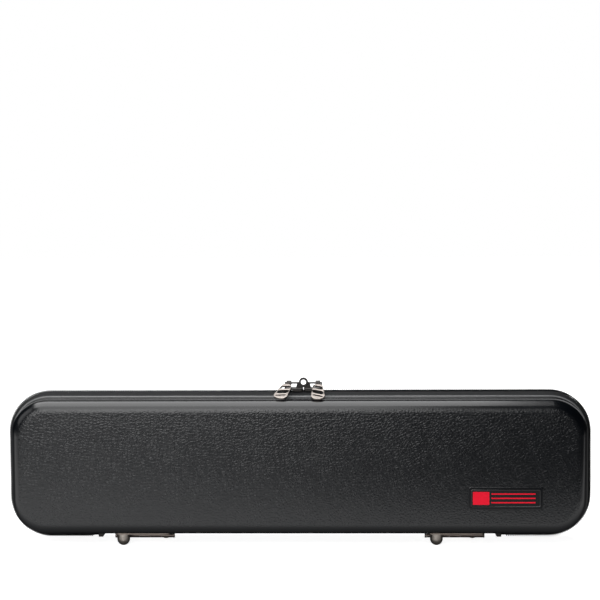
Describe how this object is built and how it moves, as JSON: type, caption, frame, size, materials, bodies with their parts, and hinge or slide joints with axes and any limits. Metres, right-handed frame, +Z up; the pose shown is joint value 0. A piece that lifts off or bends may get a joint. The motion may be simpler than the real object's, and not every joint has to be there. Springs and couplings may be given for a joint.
{
  "type": "hard flute case",
  "caption": "Slim hard-shell case for a flute, closed by a zip with two lockable sliders, hinged along one long side and standing on domed hinge feet.",
  "frame": {"origin": "floor level under the middle of the standing case, in the parting plane of lid and base", "axes": "+Z up from the hinge side with the feet to the edge that the zip opens, X along the case, -Y out of the lid's broad face, which carries the badge"},
  "size_m": [0.419, 0.0535, 0.1189],
  "materials": {
    "grained_shell": "pebble-grained satin black",
    "zip_tape": "woven black tape",
    "zip_coil": "black nylon coil",
    "welt": "satin black piping",
    "gunmetal": "black electroplated zinc",
    "nickel": "bright nickel",
    "hinge_steel": "antique nickel",
    "foot_metal": "antique nickel",
    "badge_gloss": "gloss black",
    "badge_red": "red print in low relief",
    "lining_cloth": "short-napped black cloth",
    "plush_foam": "charcoal plush over moulded foam"
  },
  "bodies": {
    "base": {"base_shell": "grained_shell", "base_zip_tape": "zip_tape", "base_zip_coil": "zip_coil", "base_zip_welt": "welt", "base_zip_stops": "gunmetal", "spine_strip": "lining_cloth", "base_lining": "lining_cloth", "base_foam_tray": "plush_foam", "left_hinge_base_leaf": "hinge_steel", "right_hinge_base_leaf": "hinge_steel", "left_hinge_pin": "hinge_steel", "right_hinge_pin": "hinge_steel", "left_base_foot": "foot_metal", "right_base_foot": "foot_metal", "left_hinge_base_rivets": "hinge_steel", "right_hinge_base_rivets": "hinge_steel"},
    "lid": {"lid_shell": "grained_shell", "lid_zip_tape": "zip_tape", "lid_zip_coil": "zip_coil", "lid_zip_welt": "welt", "lid_zip_stops": "gunmetal", "badge_plate": "badge_gloss", "badge_emblem": "badge_red", "lid_lining": "lining_cloth", "lid_pad": "plush_foam", "left_hinge_lid_leaf": "hinge_steel", "right_hinge_lid_leaf": "hinge_steel", "left_lid_foot": "foot_metal", "right_lid_foot": "foot_metal", "left_hinge_lid_rivets": "hinge_steel", "right_hinge_lid_rivets": "hinge_steel"},
    "left_slider": {"left_slider_body": "gunmetal", "left_slider_crown": "gunmetal"},
    "right_slider": {"right_slider_body": "gunmetal", "right_slider_crown": "gunmetal"},
    "left_pull": {"left_pull_link": "gunmetal", "left_pull_tab": "nickel"},
    "right_pull": {"right_pull_link": "gunmetal", "right_pull_tab": "nickel"}
  },
  "joints": [
    {"name": "lid_hinge", "type": "hinge", "parent": "base", "child": "lid", "pos_m": [0, 0, 0.0042], "axis": [1, 0, 0], "range_deg": [0, 110], "deforming": ["spine_strip"]},
    {"name": "left_slider_travel", "type": "slide", "parent": "lid", "child": "left_slider", "axis": [-1, 0, 0], "range_m": [0, 0.162]},
    {"name": "right_slider_travel", "type": "slide", "parent": "lid", "child": "right_slider", "axis": [1, 0, 0], "range_m": [0, 0.162]},
    {"name": "left_pull_swing", "type": "hinge", "parent": "left_slider", "child": "left_pull", "pos_m": [-0.0072, 0, 0.1151], "axis": [-1, 0, 0], "range_deg": [0, 225]},
    {"name": "right_pull_swing", "type": "hinge", "parent": "right_slider", "child": "right_pull", "pos_m": [0.0136, 0, 0.1151], "axis": [-1, 0, 0], "range_deg": [0, 225]}
  ]
}
